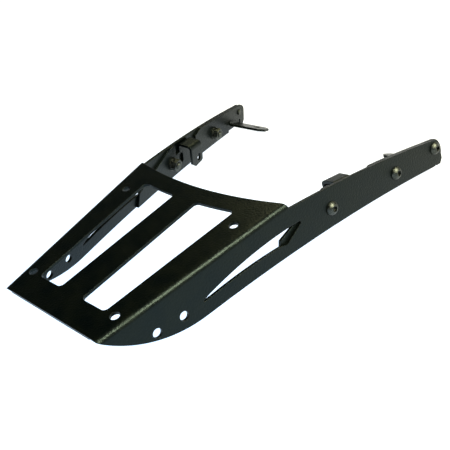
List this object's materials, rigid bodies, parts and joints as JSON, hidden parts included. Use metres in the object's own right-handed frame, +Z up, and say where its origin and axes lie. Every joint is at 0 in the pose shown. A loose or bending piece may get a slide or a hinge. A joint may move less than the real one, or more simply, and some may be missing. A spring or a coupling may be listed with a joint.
{
  "type": "motorcycle luggage rack",
  "caption": "Bolt-on tail rack: a folded sheet deck with slots and side flanges that run on as two arms, fixed by hook brackets and tabbed brackets.",
  "frame": {"origin": "centre of the deck's top face, on the rib between the slots, halfway along the deck", "axes": "+Y forward along the arms, +Z up out of the deck, +X to the rider's right"},
  "size_m": [0.2926, 0.4205, 0.0778],
  "materials": {
    "black_coat": "satin black powder coat",
    "dark_steel": "dark oxide over turned steel"
  },
  "bodies": {
    "rack": {"rack_plate": "black_coat", "front_bracket_left": "black_coat", "front_bracket_right": "black_coat", "rear_screw_left": "dark_steel", "rear_screw_right": "dark_steel", "middle_screw_left": "dark_steel", "middle_screw_right": "dark_steel", "front_screw_left": "dark_steel", "front_screw_right": "dark_steel", "rear_washer_left": "dark_steel", "rear_washer_right": "dark_steel", "middle_washer_left": "dark_steel", "middle_washer_right": "dark_steel", "rear_nut_left": "dark_steel", "rear_nut_right": "dark_steel", "middle_nut_left": "dark_steel", "middle_nut_right": "dark_steel"},
    "hook_left": {"hook_bracket_left": "black_coat"},
    "hook_right": {"hook_bracket_right": "black_coat"}
  },
  "joints": [
    {"name": "hook_left_tilt", "type": "hinge", "parent": "rack", "child": "hook_left", "pos_m": [-0.10686, 0.15433, -0.03426], "axis": [0.9701, 0.1606, -0.1822], "range_deg": [-12, 12]},
    {"name": "hook_right_tilt", "type": "hinge", "parent": "rack", "child": "hook_right", "pos_m": [0.10686, 0.15433, -0.03426], "axis": [0.9701, -0.1606, 0.1822], "range_deg": [-12, 12]}
  ]
}
